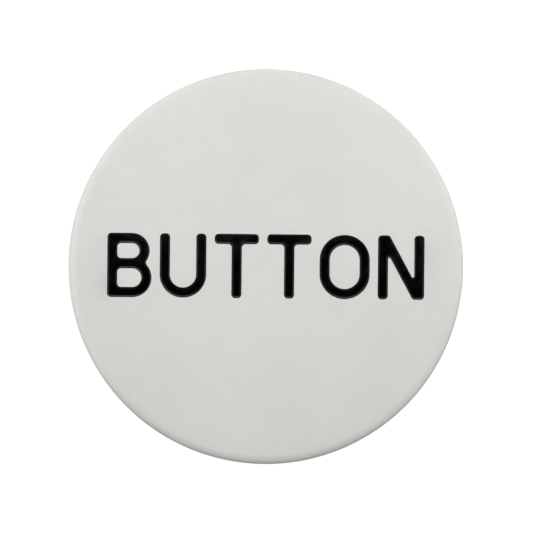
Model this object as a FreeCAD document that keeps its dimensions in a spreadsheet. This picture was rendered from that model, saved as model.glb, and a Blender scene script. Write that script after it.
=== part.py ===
import FreeCAD, Part
import math
import os

import Sketcher

# A dealer button for the card table: one thick round puck with a word cut into each of its two
# flat faces. Every letter is a groove of its own, and every groove holds its own fill of enamel.
#
# The origin is at the centre of the lower face, +Z points up through the puck, and the word on
# the upper face reads along +X. The lower face has the same word, turned over about the Y axis.

# name on the sheet, size in millimetres, what it is
SIZES = [
    ("puck_radius", 38.1, "half of the 3 inch diameter"),
    ("puck_thickness", 19.0, "from face to face, about 3/4 inch"),
    ("edge_round", 2.0, "round between each face and the rim"),
    ("groove_depth", 0.8, "depth of the letters below the face"),
    ("enamel_recess", 0.35, "how far the enamel stays below the face"),
    ("cap_height", 12.3, "height of the letters"),
    ("stroke", 1.93, "width of the letters' strokes"),
    ("letter_gap", 1.58, "space between two letters"),
    ("corner_round", 0.75, "round at a stroke's corners and where strokes meet"),
    ("notch_round", 0.25, "round at the tip of a narrow notch"),
    ("b_width", 8.5, "letter B"),
    ("b_waist", 6.5, "height of the middle of the B's crossbar"),
    ("b_setback", 0.4, "how much narrower the B's upper bowl is"),
    ("u_width", 8.9, "letter U"),
    ("t_width", 8.5, "letter T"),
    ("o_width", 9.6, "letter O"),
    ("n_width", 8.9, "letter N"),
    ("n_slant", 2.2, "width of the N's diagonal, measured along the line of the feet"),
]

WORD = ["b", "u", "t", "t", "o", "n"]
FACES = ["front", "back"]
EXPORT_FOLDER = "parts"
SAME_LEVEL = 1e-6


class Length:
    """A length that knows its value in millimetres and the formula over the sheet that gives it."""

    def __init__(self, value, formula):
        self.value = value
        self.formula = formula

    def __add__(self, other):
        return Length(self.value + other.value, f"({self.formula} + {other.formula})")

    def __sub__(self, other):
        return Length(self.value - other.value, f"({self.formula} - {other.formula})")

    def __mul__(self, factor):
        return Length(self.value * factor, f"{self.formula} * {factor}")

    def __truediv__(self, divisor):
        return Length(self.value / divisor, f"{self.formula} / {divisor}")


ZERO = Length(0.0, "0 mm")


def make_sheet(doc):
    """Writes the driving sizes to a spreadsheet, and returns them as lengths by name."""
    sheet = doc.addObject("Spreadsheet::Sheet", "Sizes")
    lengths = {}
    for row, (alias, value, note) in enumerate(SIZES, start=1):
        sheet.set(f"A{row}", note)
        sheet.set(f"B{row}", str(value))
        sheet.setAlias(f"B{row}", alias)
        lengths[alias] = Length(value, f"Sizes.{alias} * 1 mm")
    doc.recompute()
    return lengths


def new_sketch(body, name, plane_role):
    """A sketch on one of the body's own origin planes."""
    sketch = body.newObject("Sketcher::SketchObject", name)
    plane = next(p for p in body.Origin.OriginFeatures if p.Role == plane_role)
    sketch.AttachmentSupport = (plane, [""])
    sketch.MapMode = "FlatFace"
    return sketch


def pin_along(sketch, kind, axis, geometry, end, length):
    """Holds one coordinate of a point: on the axis itself, or at a length from the origin."""
    if length.value == 0:
        sketch.addConstraint(Sketcher.Constraint("PointOnObject", geometry, end, axis))
        return
    constraint = Sketcher.Constraint(kind, -1, 1, geometry, end, length.value)
    index = sketch.addConstraint(constraint)
    sketch.setExpression(f"Constraints[{index}]", length.formula)


def pin_point(sketch, geometry, end, point):
    pin_along(sketch, "DistanceX", -2, geometry, end, point[0])
    pin_along(sketch, "DistanceY", -1, geometry, end, point[1])


def pin_centre(sketch, arc, start, end, centre):
    """Holds the one coordinate of an arc's centre that its two ends leave free."""
    if abs(start[1].value - end[1].value) < SAME_LEVEL:
        pin_along(sketch, "DistanceY", -1, arc, 3, centre[1])
    else:
        pin_along(sketch, "DistanceX", -2, arc, 3, centre[0])


def draw_outline(sketch, points, arcs=None):
    """A closed outline through points, drawn anticlockwise. arcs gives the centre of each side
    that is a circular arc, by the index of the point where it starts, and how it turns."""
    arcs = arcs or {}
    sides = []
    for i, start in enumerate(points):
        end = points[(i + 1) % len(points)]
        a = FreeCAD.Vector(start[0].value, start[1].value, 0)
        b = FreeCAD.Vector(end[0].value, end[1].value, 0)
        if i not in arcs:
            sides.append((sketch.addGeometry(Part.LineSegment(a, b)), 1, 2))
            continue
        centre, anticlockwise = arcs[i]
        c = FreeCAD.Vector(centre[0].value, centre[1].value, 0)
        circle = Part.Circle(c, FreeCAD.Vector(0, 0, 1), (a - c).Length)
        angles = [math.atan2(p.y - c.y, p.x - c.x) for p in (a, b)]
        if anticlockwise:
            arc = Part.ArcOfCircle(circle, angles[0], angles[1])
            sides.append((sketch.addGeometry(arc), 1, 2))
        else:
            arc = Part.ArcOfCircle(circle, angles[1], angles[0])
            sides.append((sketch.addGeometry(arc), 2, 1))
    for i, (side, start_end, far_end) in enumerate(sides):
        after, after_start, _ = sides[(i + 1) % len(sides)]
        joined = Sketcher.Constraint("Coincident", side, far_end, after, after_start)
        sketch.addConstraint(joined)
        pin_point(sketch, side, start_end, points[i])
        if i in arcs:
            pin_centre(sketch, side, points[i], points[(i + 1) % len(points)], arcs[i][0])


def rectangle(sketch, left, low, right, high):
    draw_outline(sketch, [(left, low), (right, low), (right, high), (left, high)])


def bowl(sketch, left, low, right, high):
    """A shape with a straight left side and a half round right side."""
    radius = (high - low) / 2
    centre = (right - radius, low + radius)
    corners = [(left, low), (centre[0], low), (centre[0], high), (left, high)]
    draw_outline(sketch, corners, {1: (centre, True)})


def oval(sketch, left, low, right, high):
    """Two half rounds joined by straight sides."""
    radius = (right - left) / 2
    lower = (left + radius, low + radius)
    upper = (left + radius, high - radius)
    corners = [(left, lower[1]), (right, lower[1]), (right, upper[1]), (left, upper[1])]
    draw_outline(sketch, corners, {0: (lower, True), 2: (upper, True)})


def letter_b(size, stroke, cap):
    width = size["b_width"]
    waist_low = size["b_waist"] - stroke / 2
    waist_high = size["b_waist"] + stroke / 2
    upper_right = width - size["b_setback"]

    def stem(sketch):
        rectangle(sketch, ZERO, ZERO, stroke, cap)

    def lower_bowl(sketch):
        bowl(sketch, ZERO, ZERO, width, waist_high)
        bowl(sketch, stroke, stroke, width - stroke, waist_low)

    def upper_bowl(sketch):
        bowl(sketch, ZERO, waist_low, upper_right, cap)
        bowl(sketch, stroke, waist_high, upper_right - stroke, cap - stroke)

    return width, [stem, lower_bowl, upper_bowl]


def letter_u(size, stroke, cap):
    width = size["u_width"]
    bend = (width / 2, width / 2)

    def bent_stroke(sketch):
        outer_right = [(width, bend[1]), (width, cap)]
        inner = [
            (width - stroke, cap),
            (width - stroke, bend[1]),
            (stroke, bend[1]),
            (stroke, cap),
        ]
        outer_left = [(ZERO, cap), (ZERO, bend[1])]
        points = outer_right + inner + outer_left
        draw_outline(sketch, points, {3: (bend, False), 7: (bend, True)})

    return width, [bent_stroke]


def letter_t(size, stroke, cap):
    width = size["t_width"]

    def crossbar(sketch):
        rectangle(sketch, ZERO, cap - stroke, width, cap)

    def stem(sketch):
        rectangle(sketch, (width - stroke) / 2, ZERO, (width + stroke) / 2, cap)

    return width, [crossbar, stem]


def letter_o(size, stroke, cap):
    width = size["o_width"]

    def ring(sketch):
        oval(sketch, ZERO, ZERO, width, cap)
        oval(sketch, stroke, stroke, width - stroke, cap - stroke)

    return width, [ring]


def letter_n(size, stroke, cap):
    width, slant = size["n_width"], size["n_slant"]

    def left_stem(sketch):
        rectangle(sketch, ZERO, ZERO, stroke, cap)

    def right_stem(sketch):
        rectangle(sketch, width - stroke, ZERO, width, cap)

    def diagonal(sketch):
        corners = [(width - slant, ZERO), (width, ZERO), (slant, cap), (ZERO, cap)]
        draw_outline(sketch, corners)

    return width, [left_stem, right_stem, diagonal]


LETTERS = {"b": letter_b, "u": letter_u, "t": letter_t, "o": letter_o, "n": letter_n}


def corner_turn(shape, edge):
    """The angle in degrees by which a letter's side turns at an upright edge."""
    sides = [face for face in shape.Faces if any(e.isSame(edge) for e in face.Edges)]
    middle = edge.valueAt((edge.FirstParameter + edge.LastParameter) / 2)
    normals = [face.normalAt(*face.Surface.parameter(middle)) for face in sides]
    return math.degrees(normals[0].getAngle(normals[1]))


def upright_edges(shape, least_turn, most_turn):
    """Names of the upright edges where the outline turns by an angle between two limits."""
    names = []
    for number, edge in enumerate(shape.Edges, start=1):
        if edge.Curve.TypeId != "Part::GeomLine":
            continue
        direction = edge.tangentAt(edge.FirstParameter)
        if abs(direction.z) > 0.99 and least_turn < corner_turn(shape, edge) <= most_turn:
            names.append(f"Edge{number}")
    return names


def round_corners(body, name, edges, radius):
    """Rounds the named edges of the body's last feature, if there are any."""
    if not edges:
        return
    base = body.Tip
    fillet = body.newObject("PartDesign::Fillet", name)
    fillet.Base = (base, edges)
    fillet.setExpression("Radius", radius.formula)
    body.Document.recompute()


def make_groove(doc, size, letter, name):
    """The space that the cutter clears for one letter, upwards from the floor of the groove."""
    body = doc.addObject("PartDesign::Body", name)
    width, strokes = LETTERS[letter](size, size["stroke"], size["cap_height"])
    for draw_stroke in strokes:
        part_name = f"{name}_{draw_stroke.__name__}"
        sketch = new_sketch(body, f"{part_name}_outline", "XY_Plane")
        draw_stroke(sketch)
        pad = body.newObject("PartDesign::Pad", part_name)
        pad.Profile = sketch
        pad.setExpression("Length", size["groove_depth"].formula)
        doc.recompute()
    narrow = upright_edges(body.Shape, 100, 179)
    round_corners(body, f"{name}_notches", narrow, size["notch_round"])
    square = upright_edges(body.Shape, 20, 100)
    round_corners(body, f"{name}_corners", square, size["corner_round"])
    return body, width


def word_width(size):
    """From the first letter's left side to the last letter's right side."""
    total = ZERO
    for letter in WORD:
        total = total + size[f"{letter}_width"]
    return total + size["letter_gap"] * (len(WORD) - 1)


def place_groove(body, size, face, from_left):
    """Sets a letter into its face. The lower face's letters are turned over about the Y axis."""
    half_word = word_width(size) / 2
    if face == "front":
        turn = 0
        left = from_left - half_word
        floor = size["puck_thickness"] - size["groove_depth"]
    else:
        turn = 180
        left = half_word - from_left
        floor = size["groove_depth"]
    turned = FreeCAD.Rotation(FreeCAD.Vector(0, 1, 0), turn)
    body.Placement = FreeCAD.Placement(FreeCAD.Vector(0, 0, 0), turned)
    body.setExpression(".Placement.Base.x", left.formula)
    body.setExpression(".Placement.Base.y", (ZERO - size["cap_height"] / 2).formula)
    body.setExpression(".Placement.Base.z", floor.formula)


def letter_names(face):
    """One name for each letter of the word, such as front_enamel_t_left where it comes twice."""
    names = []
    for i, letter in enumerate(WORD):
        side = ""
        if WORD.count(letter) > 1:
            side = "_left" if i == WORD.index(letter) else "_right"
        names.append(f"{face}_enamel_{letter}{side}")
    return names


def make_blank(doc, size):
    """The puck before the letters are cut: turned from one piece, with a round at each edge."""
    body = doc.addObject("PartDesign::Body", "blank")
    profile = new_sketch(body, "blank_profile", "XZ_Plane")
    rectangle(profile, ZERO, ZERO, size["puck_radius"], size["puck_thickness"])
    turned = body.newObject("PartDesign::Revolution", "blank_turned")
    turned.Profile = profile
    turned.ReferenceAxis = (profile, ["V_Axis"])
    turned.Angle = 360
    doc.recompute()
    rims = [
        f"Edge{number}"
        for number, edge in enumerate(body.Shape.Edges, start=1)
        if edge.Curve.TypeId == "Part::GeomCircle"
    ]
    round_corners(body, "blank_edges", rims, size["edge_round"])
    return body


def make_enamel_limit(doc, size, face):
    """A plain disc from the middle of the puck to the level that the enamel is filled to."""
    disc = doc.addObject("Part::Cylinder", f"{face}_enamel_limit")
    disc.setExpression("Radius", size["puck_radius"].formula)
    reach = size["puck_thickness"] / 2 - size["enamel_recess"]
    disc.setExpression("Height", reach.formula)
    start = size["puck_thickness"] / 2 if face == "front" else size["enamel_recess"]
    disc.setExpression(".Placement.Base.z", start.formula)
    return disc


def make_face(doc, size, face):
    """One face's grooves and the enamel in them, letter by letter from the left of the word."""
    limit = make_enamel_limit(doc, size, face)
    grooves, enamels = [], []
    from_left = ZERO
    for letter, name in zip(WORD, letter_names(face)):
        groove, width = make_groove(doc, size, letter, name.replace("enamel", "groove"))
        place_groove(groove, size, face, from_left)
        enamel = doc.addObject("Part::Common", name)
        enamel.Label = name
        enamel.Base = groove
        enamel.Tool = limit
        grooves.append(groove)
        enamels.append(enamel)
        from_left = from_left + width + size["letter_gap"]
    return grooves, enamels


def cut_puck(doc, blank, grooves):
    """The finished puck: the blank less every letter's groove."""
    engraving = doc.addObject("Part::MultiFuse", "engraving")
    engraving.Shapes = grooves
    puck = doc.addObject("Part::Cut", "puck")
    puck.Label = "puck"
    puck.Base = blank
    puck.Tool = engraving
    return puck


def check(doc, pieces):
    """Stops the build if an object failed or a piece isn't one sound solid."""
    for item in doc.Objects:
        if "Invalid" in item.State or "Error" in item.State:
            raise RuntimeError(f"{item.Label} failed: {item.State}")
    for piece in pieces:
        shape = piece.Shape
        if shape.isNull() or not shape.isValid() or len(shape.Solids) != 1:
            raise RuntimeError(f"{piece.Label} isn't one valid solid")


def main():
    doc = FreeCAD.newDocument("DealerButton")
    size = make_sheet(doc)
    blank = make_blank(doc, size)
    grooves, pieces = [], []
    for face in FACES:
        face_grooves, enamels = make_face(doc, size, face)
        grooves += face_grooves
        pieces += enamels
    pieces.append(cut_puck(doc, blank, grooves))
    doc.recompute()
    check(doc, pieces)
    os.makedirs(EXPORT_FOLDER, exist_ok=True)
    for piece in pieces:
        piece.Shape.exportStep(os.path.join(EXPORT_FOLDER, f"{piece.Label}.step"))
        print(f"{piece.Label}: {piece.Shape.Volume:.2f} mm3")


main()
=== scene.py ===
import bpy
import math
from mathutils import Matrix, Vector


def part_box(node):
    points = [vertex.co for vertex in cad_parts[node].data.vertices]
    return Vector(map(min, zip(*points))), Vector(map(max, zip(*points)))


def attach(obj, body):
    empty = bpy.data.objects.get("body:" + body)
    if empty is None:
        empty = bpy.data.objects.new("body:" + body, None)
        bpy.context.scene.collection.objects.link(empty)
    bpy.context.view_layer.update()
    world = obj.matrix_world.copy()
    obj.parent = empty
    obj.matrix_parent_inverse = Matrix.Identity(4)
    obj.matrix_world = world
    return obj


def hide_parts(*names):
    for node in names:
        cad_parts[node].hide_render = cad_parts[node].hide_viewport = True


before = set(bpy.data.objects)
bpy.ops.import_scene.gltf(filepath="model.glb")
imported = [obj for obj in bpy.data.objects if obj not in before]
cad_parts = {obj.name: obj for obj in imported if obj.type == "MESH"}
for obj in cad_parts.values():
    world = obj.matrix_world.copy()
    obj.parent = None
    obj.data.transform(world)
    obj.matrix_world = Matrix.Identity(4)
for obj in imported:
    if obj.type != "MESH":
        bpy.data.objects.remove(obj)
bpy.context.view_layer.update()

mm = 0.001
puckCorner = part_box("puck")[1]
puckRadius = puckCorner.x
puckThickness = puckCorner.z
frontEnamels = sorted(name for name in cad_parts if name.startswith("front_enamel"))


def startEditing(piece):
    bpy.ops.object.select_all(action="DESELECT")
    bpy.context.view_layer.objects.active = piece
    piece.select_set(True)
    bpy.ops.object.mode_set(mode="EDIT")
    bpy.ops.mesh.select_all(action="DESELECT")


def stopEditing():
    bpy.ops.object.mode_set(mode="OBJECT")
    bpy.ops.object.select_all(action="DESELECT")


def selectWhere(kind, test):
    # kind is VERT, EDGE or FACE; test gets the mesh and one element of it
    mesh = bpy.context.object.data
    bpy.ops.object.mode_set(mode="OBJECT")
    bpy.context.tool_settings.mesh_select_mode = [kind == k for k in ("VERT", "EDGE", "FACE")]
    elements = {"VERT": mesh.vertices, "EDGE": mesh.edges, "FACE": mesh.polygons}[kind]
    for everyKind in (mesh.vertices, mesh.edges, mesh.polygons):
        everyKind.foreach_set("select", [False] * len(everyKind))
    for element in elements:
        element.select = test(mesh, element)
    bpy.ops.object.mode_set(mode="EDIT")


def isLevelAt(height):
    # true for an edge whose two ends both lie at that height
    def test(mesh, edge):
        return all(abs(mesh.vertices[v].co.z - height) < 0.001 * mm for v in edge.vertices)
    return test


def finishSurface(piece, sharpAngle=50):
    # big flat faces keep their own normal, and small rounds blend between them
    bpy.ops.object.select_all(action="DESELECT")
    bpy.context.view_layer.objects.active = piece
    piece.select_set(True)
    bpy.ops.object.shade_smooth_by_angle(angle=math.radians(sharpAngle))
    weighted = piece.modifiers.new("weightedNormals", "WEIGHTED_NORMAL")
    weighted.keep_sharp = True
    weighted.weight = 60
    bpy.ops.object.modifier_apply(modifier=weighted.name)
    bpy.ops.object.select_all(action="DESELECT")


# the puck: one solid blank, turned, with the letters cut in both faces
puckBlank = {
    "sides": 384,               # flats round the rim, too fine to see
    "edgeRound": 2.0 * mm,
    "edgeSteps": 14,
    "crownWidth": 7 * mm,       # polishing eases each face down towards its edge
    "crownDrop": 0.26 * mm,
    "crownRings": 8,
    "rimRound": 0.07 * mm,      # what tumbling takes off the rims of the letters
    "rimSteps": 3,
}


def turnBlank():
    bpy.ops.object.select_all(action="DESELECT")
    bpy.ops.mesh.primitive_cylinder_add(
        vertices=puckBlank["sides"],
        radius=puckRadius,
        depth=puckThickness,
        end_fill_type="NGON",
        location=(0, 0, puckThickness / 2),
    )
    blank = bpy.context.object
    blank.name = "acrylicPuck"
    bpy.ops.object.transform_apply(location=True, rotation=True, scale=True)
    startEditing(blank)
    outerRing = puckBlank["edgeRound"] + 0.3 * mm
    ringWidth = (puckBlank["crownWidth"] - outerRing) / puckBlank["crownRings"]
    selectWhere("FACE", lambda mesh, face: abs(face.normal.z) > 0.9)
    bpy.ops.mesh.inset(thickness=outerRing)
    for ring in range(puckBlank["crownRings"]):
        bpy.ops.mesh.inset(thickness=ringWidth)
    for side, height in ((1, puckThickness), (-1, 0)):
        selectWhere("VERT", lambda mesh, vertex: (
            abs(vertex.co.z - height) < 0.001 * mm
            and vertex.co.xy.length > puckRadius - 0.01 * mm))
        bpy.ops.transform.translate(
            value=(0, 0, -side * puckBlank["crownDrop"]),
            use_proportional_edit=True,
            proportional_edit_falloff="SHARP",
            proportional_size=puckBlank["crownWidth"],
        )
    selectWhere("EDGE", lambda mesh, edge: all(
        mesh.vertices[v].co.xy.length > puckRadius - 0.01 * mm for v in edge.vertices)
        and mesh.vertices[edge.vertices[0]].co.z == mesh.vertices[edge.vertices[1]].co.z)
    bpy.ops.mesh.bevel(
        offset=puckBlank["edgeRound"],
        offset_type="OFFSET",
        segments=puckBlank["edgeSteps"],
        profile=0.5,
        affect="EDGES",
    )
    stopEditing()
    return blank


def cleanCopy(nodeName, newName):
    # a CAD node's triangles, merged into one closed skin whose flat sides are single faces
    piece = bpy.data.objects.new(newName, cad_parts[nodeName].data.copy())
    bpy.context.scene.collection.objects.link(piece)
    startEditing(piece)
    bpy.ops.mesh.select_all(action="SELECT")
    bpy.ops.mesh.remove_doubles(threshold=0.0005 * mm)
    bpy.ops.mesh.dissolve_limited(angle_limit=math.radians(1))
    stopEditing()
    return piece


def turnedOver(piece, newName):
    # the same letter on the lower face: turned half round about the puck's middle, along Y
    copy = bpy.data.objects.new(newName, piece.data.copy())
    bpy.context.scene.collection.objects.link(copy)
    halfTurn = Matrix.Rotation(math.pi, 4, "Y")
    middle = Matrix.Translation((0, 0, puckThickness / 2))
    copy.data.transform(middle @ halfTurn @ middle.inverted())
    return copy


def letterCutter(nodeName):
    # the enamel's own outline, raised until it stands well clear of the face
    cutter = cleanCopy(nodeName, "cutter_" + nodeName)
    startEditing(cutter)
    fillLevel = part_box(nodeName)[1].z
    selectWhere("VERT", lambda mesh, vertex: abs(vertex.co.z - fillLevel) < 0.001 * mm)
    bpy.ops.transform.translate(value=(0, 0, 2 * mm))
    stopEditing()
    return cutter


def cutLetters(puck):
    cutters = [letterCutter(name) for name in frontEnamels]
    cutters += [turnedOver(cutter, cutter.name + "_back") for cutter in cutters]
    bpy.ops.object.select_all(action="DESELECT")
    for cutter in cutters:
        cutter.select_set(True)
    bpy.context.view_layer.objects.active = cutters[0]
    bpy.ops.object.join()
    engraving = cutters[0]
    cut = puck.modifiers.new("engraving", "BOOLEAN")
    cut.operation = "DIFFERENCE"
    cut.solver = "EXACT"
    cut.object = engraving
    bpy.ops.object.select_all(action="DESELECT")
    bpy.context.view_layer.objects.active = puck
    puck.select_set(True)
    bpy.ops.object.modifier_apply(modifier=cut.name)
    bpy.data.objects.remove(engraving)


def softenRims(puck):
    # only the edges where a letter's upright wall meets the flat face
    flatRadius = puckRadius - puckBlank["crownWidth"]
    levels = (isLevelAt(puckThickness), isLevelAt(0))
    startEditing(puck)

    def isRim(mesh, edge):
        if not any(level(mesh, edge) for level in levels):
            return False
        if any(mesh.vertices[v].co.xy.length > flatRadius for v in edge.vertices):
            return False
        return wallCount[edge.key] > 0

    wallCount = {edge.key: 0 for edge in puck.data.edges}
    for face in puck.data.polygons:
        if abs(face.normal.z) < 0.5:
            for key in face.edge_keys:
                wallCount[key] += 1
    selectWhere("EDGE", isRim)
    bpy.ops.mesh.bevel(
        offset=puckBlank["rimRound"],
        offset_type="OFFSET",
        segments=puckBlank["rimSteps"],
        profile=0.5,
        affect="EDGES",
    )
    stopEditing()


# the enamel: one dry inlay for each letter, a little hollow between its walls
enamelFill = {
    "wallGap": 0.08 * mm,       # how far below the face the paint meets the wall
    "sag": 0.34 * mm,           # how much lower it stands in the middle of a stroke
    "climb": 62,                # degrees, how steeply it climbs the wall at its edge
    "curl": 0.26 * mm,          # radius of its turn from the level into that climb
    "steps": 8,
}


def curlAt(step):
    # where the paint is after a step of its turn: distance from the wall, and drop
    climb = math.radians(enamelFill["climb"])
    radius = enamelFill["curl"]
    straightDrop = enamelFill["sag"] - radius * (1 - math.cos(climb))
    slope = climb * (1 - step / enamelFill["steps"])
    distance = straightDrop / math.tan(climb) + radius * (math.sin(climb) - math.sin(slope))
    return distance, straightDrop + radius * (math.cos(slope) - math.cos(climb))


def pourEnamel(nodeName):
    words = nodeName.split("_")
    name = "enamelFront" + "".join(word.title() for word in words[2:])
    piece = cleanCopy(nodeName, name)
    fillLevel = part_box(nodeName)[1].z
    paintLine = puckThickness - enamelFill["wallGap"]
    startEditing(piece)
    selectWhere("VERT", lambda mesh, vertex: abs(vertex.co.z - fillLevel) < 0.001 * mm)
    bpy.ops.transform.translate(value=(0, 0, paintLine - fillLevel))
    selectWhere("FACE", lambda mesh, face: face.normal.z > 0.9)
    lastDistance, lastDrop = 0, 0
    for step in range(enamelFill["steps"] + 1):
        distance, drop = curlAt(step)
        bpy.ops.mesh.inset(thickness=distance - lastDistance, depth=0, use_even_offset=True)
        bpy.ops.transform.translate(value=(0, 0, lastDrop - drop))
        lastDistance, lastDrop = distance, drop
    stopEditing()
    return piece


puck = turnBlank()
print("blank turned")
cutLetters(puck)
softenRims(puck)
finishSurface(puck)
print("letters cut:", len(puck.data.polygons), "faces")

enamels = {}
for nodeName in frontEnamels:
    front = pourEnamel(nodeName)
    finishSurface(front)
    back = turnedOver(front, front.name.replace("Front", "Back"))
    enamels[nodeName] = front
    enamels[nodeName.replace("front", "back")] = back
print("enamel poured:", len(enamels), "inlays")


def linear(hexColour):
    # sRGB hex to the linear values that shaders take
    channels = [int(hexColour[i:i + 2], 16) / 255 for i in (1, 3, 5)]
    return [c / 12.92 if c <= 0.04045 else ((c + 0.055) / 1.055) ** 2.4 for c in channels] + [1]


def addNode(tree, kind, inputs=None, **settings):
    node = tree.nodes.new(kind)
    for name, value in settings.items():
        setattr(node, name, value)
    for socket, value in (inputs or {}).items():
        if isinstance(value, bpy.types.NodeSocket):
            tree.links.new(value, node.inputs[socket])
        else:
            node.inputs[socket].default_value = value
    return node


def newMaterial(name):
    material = bpy.data.materials.new(name)
    material.use_nodes = True
    tree = material.node_tree
    shader = tree.nodes["Principled BSDF"]
    place = addNode(tree, "ShaderNodeTexCoord").outputs["Object"]
    inMillimetres = addNode(
        tree, "ShaderNodeMapping", {"Vector": place, "Scale": (1000, 1000, 1000)}
    ).outputs["Vector"]
    return material, tree, shader, inMillimetres


acrylicLook = {
    "white": "#E6E8E1",         # opaque cast sheet, a touch warm
    "ior": 1.49,
    "cloud": "#E0E2D9",         # where the pigment lies a little denser
    "cloudSize": 26,            # mm
    "cloudRange": (0.38, 0.62),  # of the noise, from none to full, as in the ranges below
    "haze": "#D1D1CF",          # greyer patches on the face just past both ends of the word
    "hazeWidth": 5,             # mm
    "hazeFade": 2,              # mm, above and below the ends of the word
    "hazeRange": (0.30, 0.65),
    "grainSize": 1.3,           # mm, the faint mottle of the pigment
    "grainRange": (0.30, 0.70),
    "grainShare": 0.32,         # how much of the unevenness is mottle, the rest being cloud
    "speck": "#A09D94",         # dust that was cast in
    "speckSpacing": 4.5,        # mm between the places where one may lie
    "speckRadius": 0.11,        # mm
    "speckShare": 0.25,         # how many of those places have one
    "bleed": 0.7,               # mm that light travels inside it
    "bleedShare": 0.2,          # how much of the light does
    "bleedTint": (1.0, 0.95, 0.85),
    "roughness": 0.38,
    "rimRoughness": 0.29,       # the round of the edge, polished by hands and felt
    "rimBlend": (3.2, 0.8),     # mm in from the outline, where one finish gives way to the other
    "scuffSize": 1.6,           # mm
    "scuffDulls": 0.12,         # what wear adds to the roughness, at most
    "scratchDulls": 0.10,
    "wearMean": 0.06,           # taken off again, so that wear leaves the average as it is
    "scratchLength": 9,         # mm
    "scratchWidth": 0.16,       # mm, twice the real width, so that some still show
    "scratchReach": 10,         # mm, downwards, so that one scratch is one line
    "scratchAngles": (18, 74, 131),
    "scratchRange": (0.75, 0.83),
    "scratchDepth": 0.003,      # mm
    "peelSize": 2.2,            # mm, the slow ripple that polishing leaves
    "peelHeight": 0.004,        # mm
    "toolPitch": 0.35,          # mm between turning marks, coarser than real ones
    "toolDepth": 0.003,         # mm
    "toolBlend": (0.25, 0.05),  # mm in from the outline, so that they stay on the side wall
}


def specks(tree, place, spacing, radius, share):
    # small round dots with soft rims, each in a cell of its own, in only some of the cells
    cells = addNode(tree, "ShaderNodeTexVoronoi", {"Vector": place, "Scale": 1 / spacing})
    size = radius / spacing
    dot = addNode(tree, "ShaderNodeMapRange", {
        "Value": cells.outputs["Distance"], "From Min": size, "From Max": size * 0.4,
    }).outputs["Result"]
    draw = addNode(tree, "ShaderNodeSeparateColor", {"Color": cells.outputs["Color"]}).outputs["Red"]
    chosen = addNode(tree, "ShaderNodeMath", {0: draw, 1: share}, operation="LESS_THAN").outputs[0]
    return addNode(tree, "ShaderNodeMath", {0: dot, 1: chosen}, operation="MULTIPLY").outputs[0]


def scratches(tree, place, angle):
    # hairlines in one direction: noise drawn out long and thin, and only its peaks kept
    look = acrylicLook
    low, high = look["scratchRange"]
    drawnOut = addNode(tree, "ShaderNodeMapping", {
        "Vector": place,
        "Rotation": (0, 0, math.radians(angle)),
        "Scale": (look["scratchLength"], look["scratchWidth"], look["scratchReach"]),
    }, vector_type="TEXTURE").outputs["Vector"]
    noise = addNode(tree, "ShaderNodeTexNoise", {
        "Vector": drawnOut, "Scale": 1.0, "Detail": 0.0,
    }).outputs["Fac"]
    return addNode(tree, "ShaderNodeMapRange", {
        "Value": noise, "From Min": low, "From Max": high,
    }).outputs["Result"]


def besideTheWord(tree, parts):
    # 1 just past the first and the last letter, fading out towards the edge and above and below
    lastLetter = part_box("front_enamel_n")[1]
    wordEnd, wordTop = lastLetter.x / mm, lastLetter.y / mm
    width, fade = acrylicLook["hazeWidth"], acrylicLook["hazeFade"]
    across = addNode(tree, "ShaderNodeMath", {0: parts["X"]}, operation="ABSOLUTE").outputs[0]
    along = addNode(tree, "ShaderNodeMath", {0: parts["Y"]}, operation="ABSOLUTE").outputs[0]
    patch = 1.0
    for distance, clear, full in (
        (across, wordEnd - 1, wordEnd),
        (across, wordEnd + width, wordEnd + 1),
        (along, wordTop + fade, wordTop - fade),
    ):
        share = addNode(tree, "ShaderNodeMapRange", {
            "Value": distance, "From Min": clear, "From Max": full,
        }).outputs["Result"]
        patch = addNode(tree, "ShaderNodeMath", {0: patch, 1: share}, operation="MULTIPLY").outputs[0]
    return patch


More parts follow.
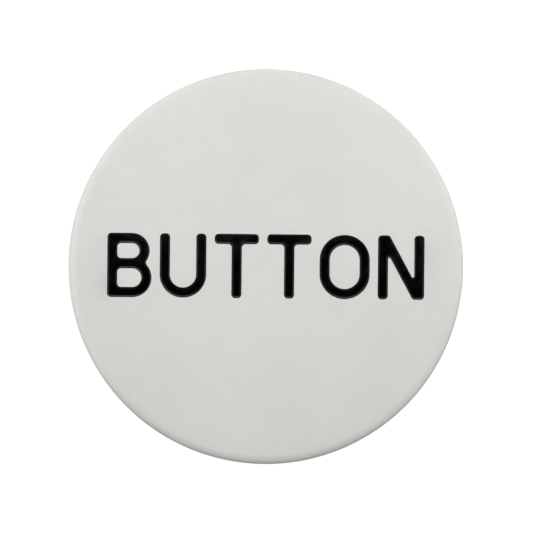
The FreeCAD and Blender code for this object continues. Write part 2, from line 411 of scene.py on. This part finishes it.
def castAcrylicWhite():
    # solid white sheet acrylic, turned and then tumbled: satin, faintly cloudy and mottled inside,
    # with hairlines on its faces and a rubbed, slightly glossier edge
    material, tree, shader, place = newMaterial("castAcrylicWhite")
    look = acrylicLook
    parts = addNode(tree, "ShaderNodeSeparateXYZ", {"Vector": place}).outputs
    flat = addNode(tree, "ShaderNodeVectorMath", {0: place, 1: (1, 1, 0)}, operation="MULTIPLY")
    fromAxis = addNode(tree, "ShaderNodeVectorMath", {
        0: flat.outputs[0],
    }, operation="LENGTH").outputs["Value"]
    outside = puckRadius / mm
    edge = addNode(tree, "ShaderNodeMapRange", {
        "Value": fromAxis,
        "From Min": outside - look["rimBlend"][0], "From Max": outside - look["rimBlend"][1],
    }).outputs["Result"]
    wall = addNode(tree, "ShaderNodeMapRange", {
        "Value": fromAxis,
        "From Min": outside - look["toolBlend"][0], "From Max": outside - look["toolBlend"][1],
    }).outputs["Result"]

    clouds = addNode(tree, "ShaderNodeTexNoise", {
        "Vector": place, "Scale": 1 / look["cloudSize"], "Detail": 4.0, "Roughness": 0.6,
    }).outputs["Fac"]
    grain = addNode(tree, "ShaderNodeTexNoise", {
        "Vector": place, "Scale": 1 / look["grainSize"], "Detail": 3.0, "Roughness": 0.7,
    }).outputs["Fac"]
    thick = addNode(tree, "ShaderNodeMapRange", {
        "Value": clouds, "From Min": look["cloudRange"][0], "From Max": look["cloudRange"][1],
    }).outputs["Result"]
    fine = addNode(tree, "ShaderNodeMapRange", {
        "Value": grain, "From Min": look["grainRange"][0], "From Max": look["grainRange"][1],
    }).outputs["Result"]
    cloudy = addNode(tree, "ShaderNodeMix", {
        0: look["grainShare"], 2: thick, 3: fine,
    }, data_type="FLOAT").outputs[0]
    # greyer patches on the face beside both ends of the word, broken up by the cloud noise
    uneven = addNode(tree, "ShaderNodeMapRange", {
        "Value": clouds, "From Min": look["hazeRange"][0], "From Max": look["hazeRange"][1],
    }).outputs["Result"]
    haze = addNode(tree, "ShaderNodeMath", {
        0: besideTheWord(tree, parts), 1: uneven,
    }, operation="MULTIPLY").outputs[0]
    dust = specks(tree, place, look["speckSpacing"], look["speckRadius"], look["speckShare"])
    colour = linear(look["white"])
    for share, layer in ((cloudy, look["cloud"]), (haze, look["haze"]), (dust, look["speck"])):
        colour = addNode(tree, "ShaderNodeMix", {
            0: share, 6: colour, 7: linear(layer),
        }, data_type="RGBA").outputs[2]
    tree.links.new(colour, shader.inputs["Base Color"])

    scuffs = addNode(tree, "ShaderNodeTexNoise", {
        "Vector": place, "Scale": 1 / look["scuffSize"], "Detail": 5.0, "Roughness": 0.65,
    }).outputs["Fac"]
    hairlines = 0.0
    for angle in look["scratchAngles"]:
        hairlines = addNode(tree, "ShaderNodeMath", {
            0: hairlines, 1: scratches(tree, place, angle),
        }, operation="MAXIMUM").outputs[0]
    face = addNode(tree, "ShaderNodeMath", {0: 1.0, 1: edge}, operation="SUBTRACT").outputs[0]
    hairlines = addNode(tree, "ShaderNodeMath", {
        0: hairlines, 1: face,
    }, operation="MULTIPLY").outputs[0]
    roughness = addNode(tree, "ShaderNodeMix", {
        0: edge, 2: look["roughness"], 3: look["rimRoughness"],
    }, data_type="FLOAT").outputs[0]
    for wear, amount in ((scuffs, look["scuffDulls"]), (hairlines, look["scratchDulls"])):
        roughness = addNode(tree, "ShaderNodeMath", {
            0: wear, 1: amount, 2: roughness,
        }, operation="MULTIPLY_ADD").outputs[0]
    roughness = addNode(tree, "ShaderNodeMath", {
        0: roughness, 1: look["wearMean"],
    }, operation="SUBTRACT").outputs[0]
    tree.links.new(roughness, shader.inputs["Roughness"])
    shader.inputs["IOR"].default_value = look["ior"]
    shader.inputs["Subsurface Weight"].default_value = look["bleedShare"]
    shader.inputs["Subsurface Radius"].default_value = look["bleedTint"]
    shader.inputs["Subsurface Scale"].default_value = look["bleed"] * mm

    peel = addNode(tree, "ShaderNodeTexNoise", {
        "Vector": place, "Scale": 1 / look["peelSize"], "Detail": 2.0,
    }).outputs["Fac"]
    marks = addNode(tree, "ShaderNodeTexNoise", {
        "W": parts["Z"], "Scale": 1 / look["toolPitch"], "Detail": 2.0,
    }, noise_dimensions="1D").outputs["Fac"]
    relief = addNode(tree, "ShaderNodeBump", {
        "Height": peel, "Distance": look["peelHeight"] * mm, "Strength": 1.0,
    }).outputs["Normal"]
    relief = addNode(tree, "ShaderNodeBump", {
        "Height": hairlines, "Distance": look["scratchDepth"] * mm, "Strength": 1.0,
        "Normal": relief,
    }, invert=True).outputs["Normal"]
    turned = addNode(tree, "ShaderNodeMath", {0: marks, 1: wall}, operation="MULTIPLY").outputs[0]
    relief = addNode(tree, "ShaderNodeBump", {
        "Height": turned, "Distance": look["toolDepth"] * mm, "Strength": 1.0,
        "Normal": relief,
    }, invert=True).outputs["Normal"]
    tree.links.new(relief, shader.inputs["Normal"])
    return material


enamelLook = {
    "black": "#020203",
    "ior": 1.5,
    "brushed": "#060607",       # where the brush left it a shade thinner
    "strokeLength": 5,          # mm, how the brush went, across the word
    "strokeWidth": 0.5,         # mm
    "strokeRange": (0.45, 0.75),  # of the noise, from none to full, as in the range below
    "roughness": 0.07,
    "dullRoughness": 0.14,      # where it has been rubbed
    "rubSize": 2.4,             # mm
    "rubRange": (0.42, 0.68),
    "rippleSize": 0.9,          # mm
    "rippleHeight": 0.003,      # mm
    "dust": "#3A3A3B",          # lint that settled while it was wet
    "dustSpacing": 1.8,         # mm
    "dustRadius": 0.06,         # mm
    "dustShare": 0.22,
}


def glossEnamelBlack():
    # gloss enamel flooded into the letters and wiped level: deep black, wet-looking, with the
    # slight ripple of a brushed skin and a little lint in it
    material, tree, shader, place = newMaterial("glossEnamelBlack")
    look = enamelLook
    drawnOut = addNode(tree, "ShaderNodeMapping", {
        "Vector": place, "Scale": (1 / look["strokeLength"], 1 / look["strokeWidth"], 1),
    }).outputs["Vector"]
    brushed = addNode(tree, "ShaderNodeTexNoise", {
        "Vector": drawnOut, "Scale": 1.0, "Detail": 3.0,
    }).outputs["Fac"]
    thin = addNode(tree, "ShaderNodeMapRange", {
        "Value": brushed, "From Min": look["strokeRange"][0], "From Max": look["strokeRange"][1],
    }).outputs["Result"]
    lint = specks(tree, place, look["dustSpacing"], look["dustRadius"], look["dustShare"])
    colour = linear(look["black"])
    for share, layer in ((thin, look["brushed"]), (lint, look["dust"])):
        colour = addNode(tree, "ShaderNodeMix", {
            0: share, 6: colour, 7: linear(layer),
        }, data_type="RGBA").outputs[2]
    tree.links.new(colour, shader.inputs["Base Color"])
    rubbed = addNode(tree, "ShaderNodeTexNoise", {
        "Vector": place, "Scale": 1 / look["rubSize"], "Detail": 4.0, "Roughness": 0.6,
    }).outputs["Fac"]
    dull = addNode(tree, "ShaderNodeMapRange", {
        "Value": rubbed, "From Min": look["rubRange"][0], "From Max": look["rubRange"][1],
    }).outputs["Result"]
    roughness = addNode(tree, "ShaderNodeMix", {
        0: dull, 2: look["roughness"], 3: look["dullRoughness"],
    }, data_type="FLOAT").outputs[0]
    tree.links.new(roughness, shader.inputs["Roughness"])
    shader.inputs["IOR"].default_value = look["ior"]
    ripple = addNode(tree, "ShaderNodeTexNoise", {
        "Vector": place, "Scale": 1 / look["rippleSize"], "Detail": 1.0,
    }).outputs["Fac"]
    skin = addNode(tree, "ShaderNodeBump", {
        "Height": ripple, "Distance": look["rippleHeight"] * mm, "Strength": 1.0,
    }).outputs["Normal"]
    tree.links.new(skin, shader.inputs["Normal"])
    return material


acrylic = castAcrylicWhite()
enamel = glossEnamelBlack()
puck.data.materials.clear()
puck.data.materials.append(acrylic)
for piece in enamels.values():
    piece.data.materials.clear()
    piece.data.materials.append(enamel)
print("materials made")

# what each piece stands for
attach(puck, "root")
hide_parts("puck")
for nodeName, piece in enamels.items():
    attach(piece, "root")
    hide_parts(nodeName)


studio = {
    "lens": 135,                        # mm
    "sensorWidth": 36,                  # mm
    "frameWidth": 102.17 * mm,          # what the view takes in at the level of the face
    "aim": (0.14 * mm, -0.03 * mm),
    "roll": 0.55,                       # degrees
    "floorSize": (4, 4),                # m
    "paper": "#F6F6F6",
    "nearGlow": 0.65,                   # the paper is lit from below as well,
    "farGlow": 1.0,                     # and more so where the lamps don't reach
    "nearReach": 0.10,                  # m from the puck's axis
    "farReach": 0.35,                   # m
    "reflector": "#E2E2E2",
    "reflectorDepth": 0.1 * mm,         # how far it lies below the floor that is seen
    "card": "#3A3748",                  # painted shadow: a dark card in front, where the puck's own shadow on the table would lie, which the lower rim reflects as its dark edge line
    "cardSize": (0.30, 0.20),           # m
    "cardNear": 24 * mm,                # from the puck's axis to the near side of the card
    "cardTurn": 10,                     # degrees, to the right
    "lights": (
        # name, place, what it looks at, width and height (m), brightness and colour of its surface
        ("wallLeft", (-0.30, 0, 0.175), (0, 0, 0.175), (0.50, 0.35), 1.02, "#FFFFFF"),
        ("wallRight", (0.30, 0, 0.175), (0, 0, 0.175), (0.50, 0.35), 0.82, "#FFFFFF"),
        ("wallBack", (0, 0.30, 0.175), (0, 0, 0.175), (0.60, 0.35), 0.54, "#FFFFFF"),
        ("roofLeft", (-0.20, 0.04, 0.36), (0, 0, puckThickness), (0.28, 0.28), 0.34, "#FFFFFF"),
        ("roofRight", (0.20, 0.04, 0.36), (0, 0, puckThickness), (0.28, 0.28), 0.84, "#FFFFFF"),
        ("roofBack", (0, 0.22, 0.33), (0, 0, puckThickness), (0.40, 0.22), 1.24, "#FFFAFC"),
        ("roofFront", (0, -0.22, 0.33), (0, 0, puckThickness), (0.40, 0.22), 0.60, "#FFFFFF"),
        ("key", (0, 0.07, 0.30), (0, 0, puckThickness), (0.14, 0.09), 3.85, "#F2F0FF"),
    ),
    "room": (
        # sine of the height above the horizon, brightness of the room there
        (0.00, 1.00),
        (0.10, 1.00),
        (0.30, 0.10),
        (0.60, 0.05),
        (0.80, 0.00),
    ),
}


def layPaper(name, size, place, turn, paper):
    bpy.ops.object.select_all(action="DESELECT")
    bpy.ops.mesh.primitive_plane_add(size=1, location=place, rotation=(0, 0, turn))
    sheet = bpy.context.object
    sheet.name = name
    sheet.scale = (*size, 1)
    bpy.ops.object.transform_apply(location=True, rotation=True, scale=True)
    # uncoated card: matt, so no lamp shows in it
    material = newMaterial(name + "Paper")[0]
    shader = material.node_tree.nodes["Principled BSDF"]
    shader.inputs["Base Color"].default_value = linear(paper)
    shader.inputs["Roughness"].default_value = 0.9
    shader.inputs["Specular IOR Level"].default_value = 0.1
    sheet.data.materials.append(material)
    return sheet


def lightFromBelow(floor):
    tree = floor.data.materials[0].node_tree
    shader = tree.nodes["Principled BSDF"]
    place = addNode(tree, "ShaderNodeTexCoord").outputs["Object"]
    away = addNode(tree, "ShaderNodeVectorMath", {0: place}, operation="LENGTH").outputs["Value"]
    glow = addNode(tree, "ShaderNodeMapRange", {
        "Value": away,
        "From Min": studio["nearReach"], "From Max": studio["farReach"],
        "To Min": studio["nearGlow"], "To Max": studio["farGlow"],
    }).outputs["Result"]
    shader.inputs["Emission Color"].default_value = (1, 1, 1, 1)
    tree.links.new(glow, shader.inputs["Emission Strength"])


def layFloors():
    # one floor is seen, bright enough to wash out to white, and one only throws light back
    seen = layPaper("studioFloor", studio["floorSize"], (0, 0, 0), 0, studio["paper"])
    lightFromBelow(seen)
    seen.visible_diffuse = False
    seen.visible_glossy = False
    seen.visible_shadow = False
    under = (0, 0, -studio["reflectorDepth"])
    reflector = layPaper("studioReflector", studio["floorSize"], under, 0, studio["reflector"])
    reflector.visible_camera = False


# a painted shadow: a dark card, hidden from the camera, laid where the puck would shade the table in
# front, so that the lower rim reflects darkness
def layShadowCard():
    turn = math.radians(studio["cardTurn"])
    reach = studio["cardNear"] + studio["cardSize"][1] / 2
    place = (reach * math.sin(turn), -reach * math.cos(turn), -studio["reflectorDepth"] / 2)
    card = layPaper("darkCard", studio["cardSize"], place, turn, studio["card"])
    card.visible_camera = False


def hangLight(name, place, target, size, brightness, colour):
    light = bpy.data.lights.new(name, "AREA")
    light.shape = "RECTANGLE"
    light.size, light.size_y = size
    light.energy = brightness * math.pi * size[0] * size[1]
    light.color = linear(colour)[:3]
    lamp = bpy.data.objects.new(name, light)
    lamp.location = place
    aim = Vector(target) - Vector(place)
    lamp.rotation_euler = aim.to_track_quat("-Z", "Y").to_euler()
    lamp.visible_camera = False
    bpy.context.scene.collection.objects.link(lamp)


def lightRoom():
    for light in studio["lights"]:
        hangLight(*light)
    world = bpy.data.worlds.new("studioRoom")
    bpy.context.scene.world = world
    world.use_nodes = True
    tree = world.node_tree
    # pale near the horizon, and dark overhead so that the enamel stays black
    direction = addNode(tree, "ShaderNodeTexCoord").outputs["Generated"]
    height = addNode(tree, "ShaderNodeSeparateXYZ", {"Vector": direction}).outputs["Z"]
    ramp = addNode(tree, "ShaderNodeValToRGB", {"Fac": height})
    steps = ramp.color_ramp.elements
    while len(steps) < len(studio["room"]):
        steps.new(1.0)
    for step, (place, brightness) in zip(steps, studio["room"]):
        step.position = place
        step.color = (brightness, brightness, brightness, 1)
    tree.links.new(ramp.outputs["Color"], tree.nodes["Background"].inputs["Color"])


def setCamera():
    camera = bpy.data.cameras.new("camera")
    camera.lens = studio["lens"]
    camera.sensor_width = studio["sensorWidth"]
    stand = bpy.data.objects.new("camera", camera)
    distance = studio["frameWidth"] * camera.lens / camera.sensor_width
    stand.location = (*studio["aim"], puckThickness + distance)
    stand.rotation_euler = (0, 0, math.radians(studio["roll"]))
    bpy.context.scene.collection.objects.link(stand)
    bpy.context.scene.camera = stand


layFloors()
layShadowCard()
setCamera()
lightRoom()
bpy.context.scene.view_settings.view_transform = "Standard"
print("studio set")
